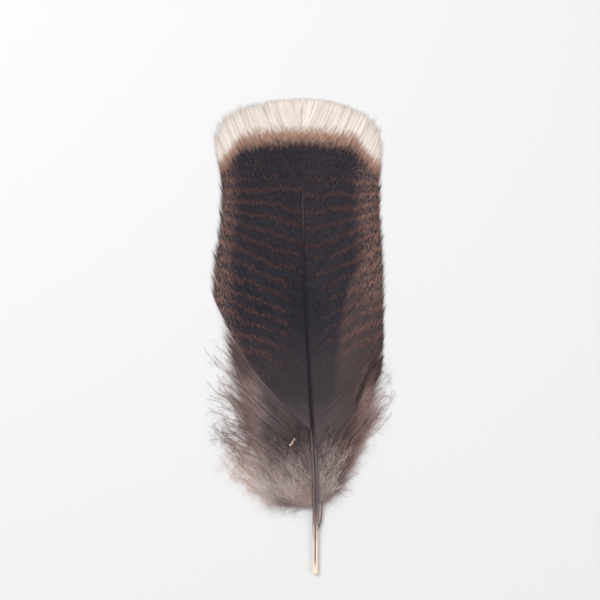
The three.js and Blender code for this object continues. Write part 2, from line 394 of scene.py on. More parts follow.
across_of, height_of, upward_of = (read(name) for name in ("across", "height", "upward"))
streaks = mottle(object_places(), 900, 3, (1, 0.06, 1))
blotches = mottle(object_places(), 260, 3, (1, 0.4, 1))
edge = maths("ABSOLUTE", across_of)
ragged_height = plus(height_of, about_zero(blotches, BORDERS_WANDER))
ragged_edge = plus(edge, about_zero(streaks, PITH_WANDERS))
quill = mixed(horn_step(ragged_height, "clear"), HORN["end"], HORN["clear"])
pith_share = times(horn_step(ragged_edge, "pith"), horn_step(height_of, "pith_from"))
quill = mixed(pith_share, quill, HORN["pith"])
quill = mixed(horn_step(ragged_height, "brown"), quill, HORN["brown"])
# The lower shaft is paler along both sides: partly its horn, partly painted glints.
side = mixed(horn_step(height_of, "fine_side"), HORN["side"], HORN["fine"])
# The heart of the lower shaft is patched with bluish grey, partly paler horn and partly painted glints.
heart = mixed(horn_step(streaks, "clouded_and_glint"), HORN["brown"], HORN["clouded_and_glint"])
heart = mixed(horn_step(edge, "fine_heart"), heart, HORN["fine"])
heart = mixed(horn_step(ragged_height, "dark"), heart, HORN["dark"])
stem = mixed(horn_step(ragged_edge, "side"), heart, side)
stem = mixed(horn_step(height_of, "tip"), stem, HORN["tip"])
stem = mixed(horn_step(height_of, "cream"), stem, HORN["cream"])
colour = mixed(horn_step(ragged_height, "shaft"), quill, stem)
colour = mixed(horn_step(upward_of, "under"), colour, HORN["clear"])
grey_streaks = mixed(streaks, HORN["grey"], HORN["white"])
colour = mixed(STREAKS_SHOW, colour, grey_streaks, "MULTIPLY")
plug(shader.inputs["Base Color"], colour)
plug(shader.inputs["Roughness"], horn_step(streaks, "gloss"))
shader.inputs["Specular IOR Level"].default_value = 0.12
shader.inputs["Coat Weight"].default_value = 0.06
shader.inputs["Coat Roughness"].default_value = 0.12
shaft.data.materials.append(horn)
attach(shaft, "root")
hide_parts("feather")


# ---- The aftershaft ----
# A thin second stem of brown horn, which forks off the underside of the quill and runs up beside the shaft,
# under the vanes. Its own few barbs are down, but none are drawn for it: the down here all grows from the
# shaft.
AFTERSHAFT_LINE = [(8.2, -88.5, 1.5), (10.2, -83, 1.5), (10.9, -74, 1.9), (11.0, -62, 2.2), (11.8, -48, 2.0)]
AFTERSHAFT_RADIUS = 0.45
AFTERSHAFT_NARROWS = 0.45  # the share of its radius that it loses on the way
AFTERSHAFT_TIP_RADIUS = 0.05
AFTERSHAFT_STEPS = 26
AFTERSHAFT_SIDES = 12
AFTERSHAFT_COLOURS = {
    "heart": (0.075, 0.045, 0.038, 1),
    # Paler sides: partly clear horn at the edges, partly a painted highlight.
    "side": (0.30, 0.24, 0.21, 1),
    "streak": (0.2, 0.15, 0.13, 1),
}
AFTERSHAFT_SIDE_STEP = (0.35, 0.9)

aftershaft_line = line_through(AFTERSHAFT_LINE)[0]
steps = aftershaft_line[np.linspace(0, len(aftershaft_line) - 1, AFTERSHAFT_STEPS).astype(int)]
radii = [AFTERSHAFT_RADIUS * (1 - AFTERSHAFT_NARROWS * t) for t in np.linspace(0, 1, AFTERSHAFT_STEPS)]
radii[-1] = AFTERSHAFT_TIP_RADIUS
aftershaft = drawn_stem("aftershaft", steps.tolist(), radii, AFTERSHAFT_SIDES)
unrolled(aftershaft, AFTERSHAFT_SIDES, steps, AFTERSHAFT_LINE[0][1], AFTERSHAFT_LINE[-1][1])
places = points_of(aftershaft)
across = (places[:, 0] - middle_at(steps, places[:, 1])[:, 0]) / AFTERSHAFT_RADIUS
numbers_on(aftershaft, "across", across)

brown_horn, tree, shader = new_finish("brown_horn", 0.3)
streaks = mottle(object_places(), 1200, 3, (1, 0.05, 1))
# The aftershaft is paler along both sides: partly clear horn at its edges, partly a painted highlight.
side_share = between(maths("ABSOLUTE", read("across")), *AFTERSHAFT_SIDE_STEP)
colour = mixed(side_share, AFTERSHAFT_COLOURS["heart"], AFTERSHAFT_COLOURS["side"])
colour = mixed(streaks, colour, AFTERSHAFT_COLOURS["streak"])
plug(shader.inputs["Base Color"], colour)
aftershaft.data.materials.append(brown_horn)
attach(aftershaft, "root")


# ---- The closed vanes ----
# Each vane is a sheet of some hundreds of barbs, thin blades that grow from the shoulder of the shaft, bend
# towards the tip and hook into each other. At the edge their ends stand free, and here and there the sheet
# has split.
LEFT = -1
RIGHT = 1
VANE_FOOT = -50.0
VANE_TOP = 100.0
EDGE_POINTS = {
    RIGHT: [
        (37.6, -16), (38.5, -4), (38.7, 16), (38.4, 34), (37, 54), (37, 70), (37.6, 84), (36.2, 92.5),
        (32, 98.8), (24, 103.4), (13, 106.3), (2, 107.1),
    ],
    LEFT: [
        (-38.6, 10), (-38.4, 22), (-37.4, 36), (-35.3, 52), (-34.8, 70), (-37.2, 84), (-36.4, 92.5),
        (-32, 99.2), (-23.5, 103.6), (-11, 106.4), (2, 107.1),
    ],
}
EDGES = {side: line_through(points) for side, points in EDGE_POINTS.items()}
EDGE_PACE = (1.26, 0.74)  # how fast the barbs' ends move up the edge, in the lower and the upper half
BARBS = 350
BARB_STEPS = 26
BARB_BEND = (0.62, 0.38)
BARB_WIDTH = 1.3  # in spacings, so that each blade laps over the next
BARB_TAPERS_FROM = 0.945
BARB_RINGS = ((-1, 0.01), (0, 0.12), (1, 0.06), (0, -0.08))  # halves of the width, and height
SHOULDER = [(-50, 1.0), (-23, 0.66), (16, 0.4), (72, 0.12), (103, 0.05)]  # y, and how bare the shaft's top is
SHOULDER_RISE = 0.75  # in shaft radii
SHEET_RISE = 0.14
SHEET_CURVE = 1.7
LOWEST = 0.03
FIRST_BARB = {LEFT: 0.055, RIGHT: 0.0}
# How the barbs differ along the vane: knots, seed, and height of each slow change.
VANE_DRIFTS = {
    "reach": (60, 3, 1.0),
    "bunch": (90, 21, 0.0012),
    "wide_bunch": (24, 31, 0.002),
    "wave": (12, 41, 0.35),
    "ends": (45, 51, 0.5),
}
LOCKS = 30
LOCK_RISE = (0.03, 0.14)
# The lowest barbs settle on the down: the share of the vane that does, and how much of its height it loses.
FOOT_SHARE = 0.05
FOOT_SINK = 0.07
# Where the sheet has split: share up the vane, depth as a share of the barbs, and width as one of the vane.
SPLITS = {
    LEFT: [(0.11, 0.22, 0.004), (0.3, 0.09, 0.002), (0.52, 0.1, 0.002), (0.8, 0.18, 0.004)],
    RIGHT: [(0.05, 0.4, 0.006), (0.27, 0.1, 0.002), (0.46, 0.12, 0.003), (0.7, 0.12, 0.003)],
}
SPLIT_LEAN_WIDTH = 0.02
SPLIT_LIFT_WIDTH = 0.012
SPLIT_LIFT = 0.5
# The y on the shaft of each rust bar, and how the bars slope up away from the shaft there.
BAR_ROWS = [-25, -18, -11.5, -5, 1, 6.5, 13, 19.8, 26.5, 33.5, 40, 47.5, 56, 65, 72.5, 79, 85.5, 92, 99]
BAR_SLOPES = [
    (-25, 0.4), (30, 0.4), (40, 0.35), (48, 0.27), (57, 0.1), (66, -0.04), (80, -0.12), (107, -0.15),
]
BAR_OFFSET = 1.2  # the right vane's bars sit lower by twice this
# The warm ground of the right vane: y, and the x beyond which the slate gives way to brown.
WARM_LINE = [(-50, 13), (-17, 17.6), (12.6, 20.5), (26.6, 24.5), (38.7, 32.5), (60, 39)]


def drift(count, knots, seed, height=1.0):
    """A smooth random line of count numbers about zero."""
    rng = np.random.default_rng(seed)
    values = rng.uniform(-height, height, knots + 3)
    at = np.linspace(0, knots, count)
    base = at.astype(int)
    t = at - base
    share = t * t * (3 - 2 * t)
    return values[base] * (1 - share) + values[base + 1] * share


def bowed(start, bend, end, t):
    """The places along lines that leave start towards bend, and arrive at end from it."""
    return (1 - t) ** 2 * start + 2 * t * (1 - t) * bend + t**2 * end


def barb_place(side, w, t):
    """Where a barb runs, a share w up the vane, at a share t along the barb."""
    root_y = VANE_FOOT + (VANE_TOP - VANE_FOOT) * w
    root = np.stack([shaft_x(root_y) + side * np.interp(root_y, *zip(*SHOULDER)), root_y], axis=-1)
    edge_places, edge_shares = EDGES[side]
    share = np.minimum(w, 0.5) * EDGE_PACE[0] + np.maximum(w - 0.5, 0) * EDGE_PACE[1]
    end = interpolated(share, edge_shares, edge_places)
    plan = bowed(root, root + (end - root) * BARB_BEND, end, t[..., None])
    shoulder = shaft_radius(root_y) * SHOULDER_RISE * (1 - ease(0, 0.1, t))
    z = shaft_z(root_y) * (1 - np.minimum(t, 1) ** SHEET_CURVE) + shoulder + SHEET_RISE
    return np.concatenate([plan, z[..., None]], axis=-1)


def mesh_of(name, points, faces, corners):
    """A piece from points in millimetres, blocks of faces with equal corners, and each corner's map place."""
    mesh = bpy.data.meshes.new(name)
    mesh.vertices.add(len(points))
    mesh.vertices.foreach_set("co", (np.asarray(points) * MM).ravel())
    sizes = np.concatenate([np.full(len(block), block.shape[1]) for block in faces])
    order = np.concatenate([block.ravel() for block in faces])
    starts = np.concatenate([[0], np.cumsum(sizes)[:-1]])
    mesh.loops.add(len(order))
    mesh.loops.foreach_set("vertex_index", order.astype(np.int32))
    mesh.polygons.add(len(sizes))
    mesh.polygons.foreach_set("loop_start", starts.astype(np.int32))
    mesh.update(calc_edges=True)
    map_places = np.concatenate([block.ravel() for block in corners])
    mesh.uv_layers.new(name="OFBake").data.foreach_set("uv", map_places.astype(np.float32))
    mesh.validate()
    piece = bpy.data.objects.new(name, mesh)
    bpy.context.scene.collection.objects.link(piece)
    bpy.ops.object.select_all(action="DESELECT")
    piece.select_set(True)
    bpy.context.view_layer.objects.active = piece
    bpy.ops.object.shade_smooth()
    return piece


def placed(*corners):
    """The places of some faces in their map, from the two numbers of each corner."""
    return np.stack([np.stack(np.broadcast_arrays(*pair), axis=-1) for pair in corners], axis=-2)


def split_shift(side, w, t):
    """How far barbs beside a split lean away from it, and how far they lift."""
    shift = np.zeros_like(w * t)
    lift = np.zeros_like(w * t)
    for at, depth, gap in SPLITS[side]:
        open_share = ease(1 - depth, 1.0, t)
        away = np.sign(w - at) * np.exp(-np.abs(w - at) / SPLIT_LEAN_WIDTH)
        shift += away * gap * open_share
        lift += SPLIT_LIFT * (w > at) * np.exp(-np.abs(w - at) / SPLIT_LIFT_WIDTH) * open_share
    return shift, lift


def bar_count(x, y, side):
    """How many rust bars lie between the quill and a place, counted along the slope of the bars."""
    away = np.abs(x - shaft_x(y))
    level = y.copy()
    for _ in range(4):
        level = y - np.interp(level, *zip(*BAR_SLOPES)) * away
    return np.interp(level + side * BAR_OFFSET, BAR_ROWS, np.arange(len(BAR_ROWS))), level


def rim_distance(x, y, side):
    """How far a place is from the edge of the vane, which is carried on straight down below its foot."""
    edge = EDGES[side][0][::4]
    below = edge[0] + np.outer(np.linspace(-40, -1, 30), [0.0, 1.0])
    nearest = np.full(x.shape, 1e9)
    for corner in np.vstack([below, edge]):
        nearest = np.minimum(nearest, np.hypot(x - corner[0], y - corner[1]))
    return nearest


def blade_faces(count, side):
    """The faces of a vane's blades and their map: a column for each blade, its underside below its top."""
    number = np.arange(count * BARB_STEPS * 4).reshape(count, BARB_STEPS, 4)
    columns = (np.arange(count)[:, None] + np.array([0.06, 0.5, 0.94])) / count
    top = 0.51 + 0.48 * np.linspace(0, 1, BARB_STEPS)
    under = top - 0.5
    faces, corners = [], []
    for first, second, column, next_column, v in (
        (0, 1, 0, 1, top), (1, 2, 1, 2, top), (2, 3, 2, 1, under), (3, 0, 1, 0, under)
    ):
        rails = number[:, :-1, first], number[:, 1:, first], number[:, 1:, second], number[:, :-1, second]
        a, b = columns[:, column, None], columns[:, next_column, None]
        place = placed((a, v[:-1]), (a, v[1:]), (b, v[1:]), (b, v[:-1]))
        faces.append(np.stack(rails, axis=-1).reshape(-1, 4))
        corners.append(place.reshape(-1, 4, 2))
    left, middle, right = columns.T
    for station, v in ((0, 0.004), (-1, 0.996)):
        turned = 1 if station == 0 else -1
        place = placed((left, v), (middle, v + 0.003), (right, v), (middle, v - 0.003))
        faces.append(number[:, station, ::turned])
        corners.append(place[:, ::turned])
    if side == LEFT:
        return [block[:, ::-1] for block in faces], [place[:, ::-1] for place in corners]
    return faces, corners


def closed_vane(name, side):
    """One vane: a four-sided blade for each barb, from the shaft to its pointed end."""
    rng = np.random.default_rng(11 + side)
    count = int(BARBS * (1 - FIRST_BARB[side]))
    slow = {
        way: drift(count, knots, seed + side, height) for way, (knots, seed, height) in VANE_DRIFTS.items()
    }
    w = np.linspace(FIRST_BARB[side], 1, count)[:, None]
    stations = np.concatenate([np.linspace(0, 0.965, BARB_STEPS - 2), [0.985, 1.0]])
    reach = 1.012 - 0.008 * np.abs(slow["reach"]) - rng.uniform(0, 0.022, count)
    reach += 0.05 * rng.uniform(size=count) ** 3 * (1 - ease(0.6, 0.85, w[:, 0]))
    t = stations[None, :] * reach[:, None]
    bunch = slow["bunch"][:, None] + slow["wide_bunch"][:, None]
    shift, split_lift = split_shift(side, w, t)
    line = w + (bunch + rng.normal(0, 0.0004, (count, 1))) * ease(0.1, 1, t) + shift
    lock = np.sort(rng.uniform(0, 1, LOCKS))
    lock_at = np.searchsorted(lock, w[:, 0])
    lock_from = np.concatenate([[0], lock])[lock_at]
    lock_to = np.concatenate([lock, [1]])[lock_at]
    lock_share = (w[:, 0] - lock_from) / np.maximum(lock_to - lock_from, 1e-3)
    lock_high = rng.uniform(*LOCK_RISE, LOCKS + 1)[lock_at]
    lift = (lock_high * (1 - lock_share))[:, None] * ease(0, 0.2, t)
    wave = slow["wave"][:, None] * ease(0.2, 0.7, t) * (1.15 - ease(0.7, 1.1, t))
    ends = np.abs(slow["ends"])[:, None] * ease(0.8, 1, t)
    rise = lift + np.maximum(wave, -0.1) + ends + split_lift + rng.uniform(0, 0.05, (count, 1))
    at_foot = 1 - ease(0, FOOT_SHARE, w - FIRST_BARB[side])
    rise *= 1 - 0.8 * at_foot
    settled = 1 - FOOT_SINK * at_foot * ease(0, 0.15, t)
    half = BARB_WIDTH / 2 / BARBS * (1 - 0.92 * ease(BARB_TAPERS_FROM, 1, stations))
    thin = 1 - 0.45 * np.minimum(t, 1)
    rails = []
    for halves, up in BARB_RINGS:
        rail = barb_place(side, np.clip(line + halves * half, -0.02, 1.02), t)
        rail[..., 2] = rail[..., 2] * settled + rise + up * thin
        rails.append(rail)
    points = np.stack(rails, axis=2)
    points[..., 2] = np.maximum(points[..., 2], LOWEST)
    piece = mesh_of(name, points.reshape(-1, 3), *blade_faces(count, side))

    x, y = points[..., 0], points[..., 1]
    away = np.abs(x - shaft_x(y))
    bars, level = bar_count(x, y, side)
    rim = rim_distance(x, y, side)
    near_shaft = 1 - 0.85 * (1 - ease(3, 15, away)) * (1 - ease(18, 46, y))
    if side == RIGHT:
        warm = ease(-6, 5, x - np.interp(y, *zip(*WARM_LINE)))
        bright = 0.46 + 0.54 * ease(11, 30, away)
        margin_width, margin_from, margin_most = 9.5, 2, 3
    else:
        warm = 0.5 * (1 - ease(2, 12, rim))
        bright = 0.54 + (0.42 - 0.22 * ease(0, 26, y)) * ease(8, 26, away)
        margin_width, margin_from, margin_most = 7.8 - 2 * ease(20, 50, y), -14, 9 - 6.5 * ease(34, 60, y)
    margin_share = ease(margin_from, margin_from + 22, y)
    margin = np.minimum(margin_width - rim, margin_most)
    numbers = {
        "bars": bars,
        "bright": bright,
        "vivid": ease(-34, -8, level) * (1 - 0.6 * ease(67, 72, y)) * near_shaft,
        "soft": ease(10, 50, y),
        "margin": margin * margin_share - 6 * (1 - margin_share),
        "warm": warm * (1 - ease(38, 56, y)),
        "foot": 1 - ease(-24, 14, y),
        "fluffy": 1 - ease(-46, -22, y),
        "pale": y - (92 - 0.0042 * x**2 - 9 * ease(24, 36, np.abs(x))),
        "under": np.broadcast_to([0, 0, 0, 1.0], x.shape),
    }
    for kind, values in numbers.items():
        numbers_on(piece, kind, values.ravel())
    seeds = rng.uniform(size=count)[:, None, None]
    grain = np.broadcast_arrays(w[:, :, None] * BARBS, t[:, :, None] * 60, seeds, x)[:3]
    numbers_on(piece, "grain", np.stack(grain, axis=-1).reshape(-1, 3))
    return piece


VANE_COLOURS = {
    "slate": (0.0265, 0.0242, 0.0390, 1),
    "slate_deep": (0.0122, 0.0106, 0.0165, 1),
    "charcoal": (0.0385, 0.0305, 0.0350, 1),
    "mauve": (0.060, 0.041, 0.041, 1),
    "fur": (0.088, 0.066, 0.067, 1),
    "rust": (0.113, 0.050, 0.043, 1),
    "rust_deep": (0.066, 0.031, 0.026, 1),
    "rust_bright": (0.215, 0.087, 0.063, 1),
    "margin_dark": (0.045, 0.033, 0.034, 1),
    "margin_pale": (0.265, 0.158, 0.134, 1),
    "margin_rust": (0.24, 0.115, 0.082, 1),
    "cream": (0.74, 0.66, 0.60, 1),
    "tan": (0.34, 0.20, 0.15, 1),
    "under": (0.155, 0.13, 0.125, 1),
}
# Patterns on the blades: scales across and along the barbs, detail and roughness.
GRAIN_PATTERNS = {
    "streak": ((0.4, 0.2, 0), 2, 0.5),
    "blots": ((0.42, 0.46, 0), 2, 0.5),
    "speck": ((0.62, 1.0, 0), 2, 0.6),
    "fine": ((0.9, 1.9, 0), 1, 0.5),
    "strand": ((0.22, 0.06, 0), 2, 0.5),
    "spots": ((0.28, 1.25, 0), 1, 0.5),
}
# Where each look of the vanes comes in: from and to, and the shares there if they aren't 0 and 1.
VANE_STEPS = {
    "bar": (0.07, 0.16, 1, 0),
    "soft_bar": (0.07, 0.24, 1, 0),
    "kept": (-0.03, 0.05),
    "deep": (0.2, 0.48, 0.85, 0),
    "scrawl": (0.52, 0.62, 0, 0.4),
    "warm": (0.25, 0.8),
    "rust": (0.36, 0.6),
    "margin": (-5.0, 5.5),
    "pepper": (0.44, 0.57),
    "tan": (-8, -1),
    "cream": (-2, 4),
    "shade": (0.2, 0.8, 0.82, 1.18),
    "ragged": (0, 1, 1.2, 0.85),
    "strength": (0, 1, 0.95, 0.7),
}
BAR_WANDERS = 1.0  # in bars, as the two below it
BAR_RAGGED = 1.3
BAR_JAGGED = 0.12
BAR_BLUR = 0.14
SOFT_BAR_BLUR = 0.2
# How much of a bar the blots leave out: less where it is vivid, and more where it is warm.
FAINT_LIMIT = 0.66
VIVID_LIMIT = -0.34
WARM_LIMIT = 0.13
WARM_BORDER_BLUR = 0.5
WARM_BRIGHTENS = 0.7
MARGIN_RAGGED = 7.0
MARGIN_STRENGTH = 0.85
MARGIN_BARS = 0.55
PEPPER_MIX = (0.85, 0.15)
PEPPER_ON_BARS = 0.07
PALE_RAGGED = 9.0
SHADE_MIX = (0.3, 0.7)
STRAND_SHADE = 0.5
UNDER_SHARE = 0.5

blade, tree, shader = new_finish("vane", 0.55)


def vane_step(value, look):
    return between(value, *VANE_STEPS[look])


def laid_on(colour, share, look):
    return mixed(share, colour, VANE_COLOURS[look])


own = object_places()
grain = read("grain", "Vector")
parts = tree.nodes.new("ShaderNodeSeparateXYZ")
plug(parts.inputs[0], grain)
seed = parts.outputs["Z"]
flow = mottle(own, 85, 2)
cloud = mottle(own, 140, 2)
streak, blots, speck, fine, strand, spots = (
    mottle(grain, 1, detail, stretch, roughness)
    for stretch, detail, roughness in GRAIN_PATTERNS.values()
)
soft = read("soft")
warm = read("warm")
ragged = times(about_zero(streak, BAR_RAGGED), vane_step(soft, "ragged"))
wander = plus(read("bars"), about_zero(flow, BAR_WANDERS))
phase = plus(wander, plus(ragged, about_zero(seed, BAR_JAGGED)))
off_bar = maths("PINGPONG", phase, 0.5)
bar = vane_step(plus(off_bar, about_zero(fine, BAR_BLUR)), "bar")
soft_bar = vane_step(plus(off_bar, about_zero(fine, SOFT_BAR_BLUR)), "soft_bar")
bar = plus(times(bar, maths("SUBTRACT", 1, soft)), times(soft_bar, soft))
limit = plus(FAINT_LIMIT, times(read("vivid"), VIVID_LIMIT))
limit = plus(limit, times(warm, WARM_LIMIT))
bar = times(bar, vane_step(maths("SUBTRACT", blots, limit), "kept"))
dark = mixed(cloud, VANE_COLOURS["slate_deep"], VANE_COLOURS["slate"])
dark = laid_on(dark, vane_step(off_bar, "deep"), "slate_deep")
dark = laid_on(dark, times(vane_step(blots, "scrawl"), soft), "rust_deep")
dark = laid_on(dark, read("foot"), "charcoal")
warm_share = vane_step(plus(warm, about_zero(cloud, WARM_BORDER_BLUR)), "warm")
dark = laid_on(dark, warm_share, "mauve")
dark = laid_on(dark, read("fluffy"), "fur")
rust = mixed(vane_step(speck, "rust"), VANE_COLOURS["rust_deep"], VANE_COLOURS["rust"])
rust = laid_on(rust, times(warm_share, WARM_BRIGHTENS), "rust_bright")
bar_share = times(times(bar, vane_step(soft, "strength")), read("bright"))
colour = mixed(bar_share, dark, rust)
margin_at = plus(read("margin"), about_zero(streak, MARGIN_RAGGED))
pepper = plus(times(spots, PEPPER_MIX[0]), times(fine, PEPPER_MIX[1]))
speckle = vane_step(plus(pepper, about_zero(bar, PEPPER_ON_BARS)), "pepper")
margin = mixed(speckle, VANE_COLOURS["margin_dark"], VANE_COLOURS["margin_pale"])
margin = laid_on(margin, times(bar, MARGIN_BARS), "margin_rust")
colour = mixed(times(vane_step(margin_at, "margin"), MARGIN_STRENGTH), colour, margin)
pale_at = plus(read("pale"), about_zero(streak, PALE_RAGGED))
colour = laid_on(colour, vane_step(pale_at, "tan"), "tan")
colour = laid_on(colour, vane_step(pale_at, "cream"), "cream")
shade = plus(times(seed, SHADE_MIX[0]), times(fine, SHADE_MIX[1]))
shade = plus(vane_step(shade, "shade"), about_zero(strand, STRAND_SHADE))
grey = tree.nodes.new("ShaderNodeCombineColor")
for socket in grey.inputs:
    plug(socket, shade)
colour = mixed(1.0, colour, grey.outputs[0], "MULTIPLY")
colour = laid_on(colour, times(read("under"), UNDER_SHARE), "under")
plug(shader.inputs["Base Color"], colour)
shader.inputs["Specular IOR Level"].default_value = 0.2

left_vane = closed_vane("left_vane", LEFT)
right_vane = closed_vane("right_vane", RIGHT)
for vane in (left_vane, right_vane):
    vane.data.materials.append(blade)
    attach(vane, "root")


# ---- The down ----
# Below the closed vanes the barbs have no hooks. They are long soft threads, each with two rows of fine
# barbules. They rise from the shaft in a fan like a tulip, lie over each other and over the vanes' foot,
# and droop outside.
# Each row is one barb of a fan, from the top: y of its root, a place halfway along, and its end. The rows of
# a bed have two numbers more: where along the barb its blade starts to narrow, and where nothing is left.
RIGHT_FAN = [
    (-48, (24, -26), (38.6, -5)), (-52, (25.5, -30), (39.2, -12)), (-56, (27.5, -35), (41.5, -19)),
    (-60, (29, -41), (43.6, -26)), (-63.5, (27.6, -46), (39.5, -28)), (-66.5, (25.4, -51), (35.5, -34)),
    (-69, (22.8, -56.5), (32.3, -41)), (-71.2, (19.8, -61.5), (28.8, -48.5)),
    (-73.2, (17.4, -65.4), (27.2, -54.5)), (-74.8, (14.8, -69.2), (24.4, -61)),
    (-76, (12.6, -72.4), (20.4, -67.5)),
]
LEFT_FAN = [
    (-40, (-17, -16), (-37.8, 10)), (-44, (-18.5, -21), (-37.5, 3)), (-47.5, (-20, -26), (-38.2, -6)),
    (-51, (-21, -31.5), (-40, -13)), (-53.5, (-21.5, -35.5), (-41, -18)), (-56, (-22, -39), (-43, -25)),
    (-58.5, (-23, -43), (-43.5, -31)), (-61.5, (-23, -48), (-38, -36)), (-64.5, (-23, -53), (-36, -41)),
    (-67.5, (-22.5, -58.5), (-34.5, -46)), (-70, (-21, -64), (-32, -52)), (-72, (-18.2, -68.5), (-30, -58)),
    (-74, (-14.5, -72.3), (-26.5, -64)), (-75.6, (-7.5, -74.8), (-17, -69.5)),
]
RIGHT_COVER = [
    (-53, (10.5, -48), (13, -43)), (-58.5, (12.5, -51), (16.5, -43.5)), (-65, (15, -54), (20.5, -44)),
    (-70, (17, -58), (23, -46.5)), (-73.5, (16.5, -63), (22.5, -51)), (-76, (13.5, -67.5), (17.5, -58)),
]
LEFT_COVER = [
    (-52, (3.5, -48), (1.5, -43)), (-58, (2, -50.5), (-3, -43.5)), (-64, (-0.5, -54), (-8, -44)),
    (-70, (-4.5, -57.5), (-13.5, -45)), (-74, (-8, -61.5), (-18, -46)), (-76, (-9.5, -66), (-20, -52)),
    (-77, (-7, -72), (-17, -61)),
]
RIGHT_BED = [
    (-45, (23.5, -22.5), (37.4, -4), 0.7, 1.02), (-50, (24.5, -30), (37.2, -13), 0.7, 1.02),
    (-54.5, (25, -36), (36.6, -20), 0.6, 0.95), (-59, (25.3, -42), (35.6, -27), 0.45, 0.9),
    (-63.5, (24.8, -48), (34, -34), 0.4, 0.85), (-67.5, (23, -54), (31, -41), 0.35, 0.8),
    (-71, (19, -60), (25, -50), 0.3, 0.75), (-74, (14.5, -66.5), (19, -58.5), 0.3, 0.75),
    (-76, (10.5, -71), (13, -66.5), 0.3, 0.75),
]
LEFT_BED = [
    (-39, (-17, -13.5), (-35, 9), 0.6, 1.0), (-44, (-17.5, -20.5), (-34, 0), 0.6, 1.0),
    (-49.5, (-18, -28.5), (-32.5, -10), 0.5, 0.92), (-55, (-18, -36.5), (-30.5, -20), 0.4, 0.85),
    (-60, (-19, -42.5), (-31, -27), 0.35, 0.8), (-65, (-18.5, -49.5), (-28, -36), 0.3, 0.78),
    (-69.5, (-14, -57), (-22, -46.5), 0.3, 0.8), (-73, (-5, -64.5), (-11, -56), 0.35, 0.8),
    (-76.2, (1, -71), (-4, -66), 0.35, 0.8),
]
# How each kind of thread lies: its depth, from 0 on the table to 1 on the sheet of the vanes, its height over
# that, how far the shortest ones reach, and how loose they are.
FAN_LIE = {"depth": (0.1, 1.0), "over": 0.2, "shortest": (0.75, 0.35), "loose": 1.2}
COVER_LIE = {"depth": (0.9, 1.0), "over": 0.8, "shortest": (0.4, 0.5), "loose": 1.0}
BED_LIE = {"depth": (0.89, 0.93), "over": 0.0, "shortest": (0.9, 0.8), "loose": 0.2}
SHEET_HALF_WIDTH = 42
SWINGS = ((0.9, 1.4), (0.55, 3.4))  # how far a thread sways, and how many times
THREAD_RADII = (0.075, 0.025)
DOWN_STEPS = 20
HAIR_STEPS = 12
RIGHT_BARBS = 240
LEFT_BARBS = 210
RIGHT_COVER_BARBS = 170
LEFT_COVER_BARBS = 210
BED_BARBS = 230
BED_BLADE_RADIUS = 0.24
BED_FLATNESS = 0.09
BARBULE_EVERY = 0.72
BARBULE_LENGTH = 2.9
BARBULE_THICK = 0.042
LOOSE_BARBULE_EVERY = 0.8
LOOSE_BARBULE_LENGTH = BARBULE_LENGTH * 0.6
BARBULE_LEAN = (22, 58)  # degrees
BARBULE_ROLL = 34
RIPPLE_LENGTH = 3.4
HAIR_TAPER = 0.35
STRANDS = {"length": 7, "inner": 0.1, "scatter": 0.27, "wavy": 0.42}
# The parts of the fans, in threads from the top, whose hairs make the haze.
LEFT_HAZE_THREADS = slice(80, 205)
RIGHT_HAZE_THREADS = slice(120, 238)
# The radius of each kind of single hair, and how much paler it is than the down round it.
CURL_LOOK = (0.036, 0.0)
HAZE_LOOK = (0.03, -0.2)
# The strands' extra paleness is partly a painted highlight along the barbs.
STRAND_LOOK = (0.08, 0.1)
OUTMOST = 41.0
DOWN_COLOURS = {
    "deep": (0.028, 0.020, 0.021, 1),
    "charcoal": (0.095, 0.073, 0.075, 1),
    "dark": (0.235, 0.172, 0.168, 1),
    "brown": (0.54, 0.42, 0.40, 1),
    "light": (0.82, 0.72, 0.68, 1),
    "warmth": (1.0, 0.868, 0.802, 1),
}
# The paleness at which each colour comes in, on a scale that the pieces of down keep for each point.
DOWN_LOOKS = {"charcoal": (-1.5, -0.9), "dark": (-0.6, -0.1), "brown": (-0.1, 0.6), "light": (0.7, 1.3)}
WARM_OUTSIDE = (14 * MM, 27 * MM)
DOWN_FOOT = (-72, -42)  # the y over which the paleness by the quill fades upwards
STRANDS_FOOT = (-70, -39)


def unit(ways):
    return ways / (np.linalg.norm(ways, axis=-1, keepdims=True) + 1e-9)


def drawn_in(x):
    """Brings the outermost ends back, so that no thread strays past the feather's outline."""
    return x - np.sign(x) * 0.6 * np.maximum(np.abs(x) - OUTMOST, 0)


def sheet_z(x, y):
    """How high the curved sheet of the vanes lies, or would lie if it went on there."""
    away = np.abs(x - shaft_x(y))
    return shaft_z(y - away) * (1 - np.minimum(away / SHEET_HALF_WIDTH, 1) ** SHEET_CURVE)


